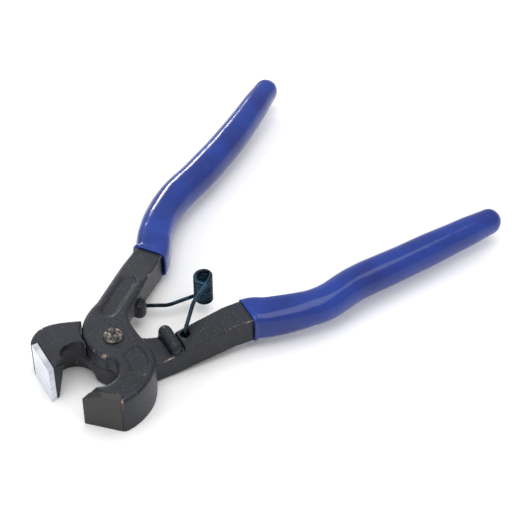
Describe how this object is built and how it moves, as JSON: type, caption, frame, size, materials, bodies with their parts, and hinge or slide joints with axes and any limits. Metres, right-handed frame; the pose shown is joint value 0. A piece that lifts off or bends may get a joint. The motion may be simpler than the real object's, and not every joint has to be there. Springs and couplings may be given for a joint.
{
  "type": "tile nippers",
  "caption": "Spring-opened forged hand nippers with brazed carbide cutting tips and dipped plastic grips, for biting shapes out of ceramic tile.",
  "frame": {"origin": "middle of the open tool's footprint, on the plane its underside rests on", "axes": "+Z along the pivot, up from the resting face; +X from the jaws to the handle ends; +Y to the side of the front lever's handle"},
  "size_m": [0.1914, 0.1374, 0.0204],
  "materials": {
    "forged_lever": "satin black oxide over forged steel",
    "carbide": "ground, satin",
    "rivet_steel": "staked, worn",
    "spring_wire": "oil-tempered blued wire",
    "dipped_plastic": "gloss dip"
  },
  "bodies": {
    "rear_lever_body": {"rear_lever": "forged_lever", "rear_carbide_tip": "carbide", "pivot_rivet": "rivet_steel", "rear_grip": "dipped_plastic"},
    "front_lever_body": {"front_lever": "forged_lever", "front_carbide_tip": "carbide", "front_grip": "dipped_plastic"},
    "spring_coil_body": {"spring_rear_half": "spring_wire"},
    "spring_leg_body": {"spring_front_half": "spring_wire"}
  },
  "joints": [
    {"name": "pivot", "type": "hinge", "parent": "rear_lever_body", "child": "front_lever_body", "pos_m": [-0.06626, 0.00101, 0.0102], "axis": [0, 0, 1], "range_deg": [-33, 0], "stiffness_Nm_per_rad": 0.5},
    {"name": "spring_swing", "type": "hinge", "parent": "rear_lever_body", "child": "spring_coil_body", "pos_m": [-0.04306, -0.01509, 0.0142], "axis": [0, 0, 1], "range_deg": [-30, 1]},
    {"name": "spring_wind", "type": "hinge", "parent": "spring_coil_body", "child": "spring_leg_body", "pos_m": [-0.01966, -0.00259, 0.0125], "axis": [0, 0, 1], "range_deg": [-1, 38]}
  ],
  "couplings": [
    {"joint": "spring_swing", "follows": "pivot", "ratio": 0.88},
    {"joint": "spring_wind", "follows": "pivot", "ratio": -1.11}
  ]
}
